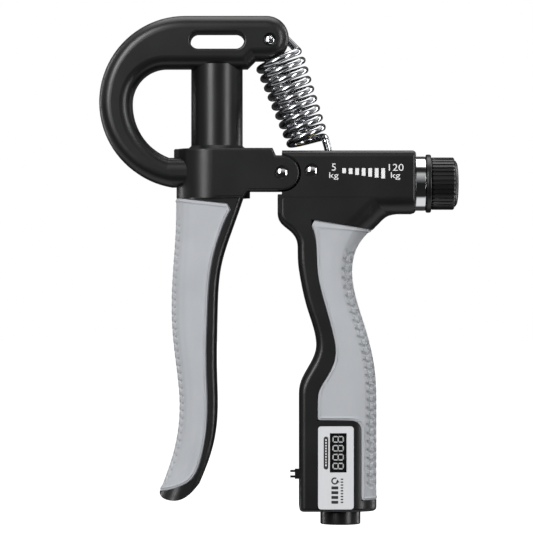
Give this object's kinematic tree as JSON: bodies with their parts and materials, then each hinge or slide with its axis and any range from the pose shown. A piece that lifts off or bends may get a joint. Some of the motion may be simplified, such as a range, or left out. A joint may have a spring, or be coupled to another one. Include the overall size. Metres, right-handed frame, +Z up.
{
  "type": "hand grip exerciser",
  "caption": "Adjustable spring hand-grip exerciser: ring-frame finger lever, palm arm with tension knob and counter, joined at a pivot by an extension spring.",
  "frame": {"origin": "middle of the palm grip, on the mid-plane; the hand's palm holds it there", "axes": "+Z up from the counter end to the ring frame, +X towards the palm side and the tension knob, +Y to the rear"},
  "size_m": [0.1169, 0.0241, 0.1653],
  "materials": {
    "black_moulding": "satin moulded plastic",
    "black_shell": "satin moulded plastic",
    "soft_grip": "soft matte grip",
    "bright_steel": "bright plated",
    "spring_wire": "bright plated wire",
    "steel": "plain steel",
    "brass": "turned",
    "knob_black": "ribbed, semi-gloss",
    "white_print": "printed",
    "label_silver": "satin silver",
    "window_clear": "clear window",
    "display_dark": "display glass",
    "board_green": "circuit board",
    "contact_rubber": "conductive rubber"
  },
  "bodies": {
    "palm_arm": {"palm_case_front": "black_shell", "palm_case_rear": "black_shell", "palm_grip_sleeve": "soft_grip", "case_screws": "bright_steel", "case_nuts": "steel", "pivot_bush": "brass", "barrel_collar": "bright_steel", "thrust_washer": "brass", "scale_marks": "white_print", "counter_label": "label_silver", "display_window": "window_clear", "display_panel": "display_dark", "contact_strips": "contact_rubber", "counter_board": "board_green", "coin_cell": "steel", "battery_contacts": "brass", "battery_cover": "black_shell", "trigger_switch": "knob_black"},
    "ring_lever": {"ring_frame": "black_moulding", "support_post": "black_moulding", "post_core": "steel", "finger_grip": "soft_grip", "pivot_pin": "bright_steel", "spring_pin_screw": "bright_steel", "spring_pin_nut": "steel", "spring_pin_bush": "steel"},
    "knob": {"tension_knob": "knob_black", "knob_flange": "knob_black", "knob_cap": "knob_black", "lead_screw": "steel", "knob_pin": "steel"},
    "nut": {"travel_nut": "brass", "hook_pin": "steel"},
    "lower_hook": {"spring_lower_hook": "spring_wire"},
    "lower_coils": {"spring_lower_coils": "spring_wire"},
    "upper_coils": {"spring_upper_coils": "spring_wire"},
    "upper_hook": {"spring_upper_hook": "spring_wire"},
    "trigger": {"count_trigger": "black_moulding", "trigger_spring": "steel"},
    "reset_stem": {"reset_spindle": "steel", "reset_clip": "steel", "reset_spring": "steel"},
    "reset_cap": {"reset_knob": "knob_black"}
  },
  "joints": [
    {"name": "squeeze", "type": "hinge", "parent": "palm_arm", "child": "ring_lever", "pos_m": [-0.018, 0, 0.041], "axis": [0, -1, 0], "range_deg": [0, 15.5], "stiffness_Nm_per_rad": 6, "springref_deg": -17.19},
    {"name": "tension_turn", "type": "hinge", "parent": "palm_arm", "child": "knob", "pos_m": [0.0253, 0, 0.0378], "axis": [-1, 0, 0], "range_deg": [0, 3600]},
    {"name": "nut_travel", "type": "slide", "parent": "palm_arm", "child": "nut", "axis": [1, 0, 0], "range_m": [0, 0.02]},
    {"name": "hook_lean_squeeze", "type": "hinge", "parent": "nut", "child": "lower_hook", "pos_m": [-0.0028, 0, 0.0446], "axis": [0, -1, 0], "range_deg": [0, 12.28], "deforming": ["spring_lower_hook"]},
    {"name": "coil_lean_setting", "type": "hinge", "parent": "lower_hook", "child": "lower_coils", "pos_m": [-0.0028, 0, 0.0446], "axis": [0, -1, 0], "range_deg": [0, 17.38], "deforming": ["spring_lower_coils"]},
    {"name": "coil_stretch_squeeze", "type": "slide", "parent": "lower_coils", "child": "upper_coils", "axis": [-0.4335, 0, 0.9011], "range_m": [0, 0.00499], "deforming": ["spring_upper_coils"]},
    {"name": "hook_stretch_setting", "type": "slide", "parent": "upper_coils", "child": "upper_hook", "axis": [-0.4335, 0, 0.9011], "range_m": [0, 0.01269], "deforming": ["spring_upper_hook"]},
    {"name": "trigger_press", "type": "slide", "parent": "palm_arm", "child": "trigger", "axis": [1, 0, 0], "range_m": [0, 0.0014], "stiffness_N_per_m": 300, "springref_m": -0.0006, "deforming": ["trigger_spring"]},
    {"name": "reset_push", "type": "slide", "parent": "palm_arm", "child": "reset_stem", "axis": [0, 0, 1], "range_m": [0, 0.0015], "stiffness_N_per_m": 400, "springref_m": -0.001, "deforming": ["reset_spring"]},
    {"name": "reset_turn", "type": "hinge", "parent": "reset_stem", "child": "reset_cap", "pos_m": [0.00105, 0, -0.0685], "axis": [0, 0, 1], "range_deg": [-90, 90]}
  ],
  "couplings": [
    {"joint": "tension_turn", "follows": "nut_travel", "rad_per_m": 3141.6},
    {"joint": "hook_lean_squeeze", "follows": "squeeze", "ratio": 0.78903},
    {"joint": "coil_lean_setting", "follows": "nut_travel", "rad_per_m": 15.123},
    {"joint": "coil_stretch_squeeze", "follows": "squeeze", "m_per_rad": 0.018372},
    {"joint": "hook_stretch_setting", "follows": "nut_travel", "ratio": 0.633}
  ]
}
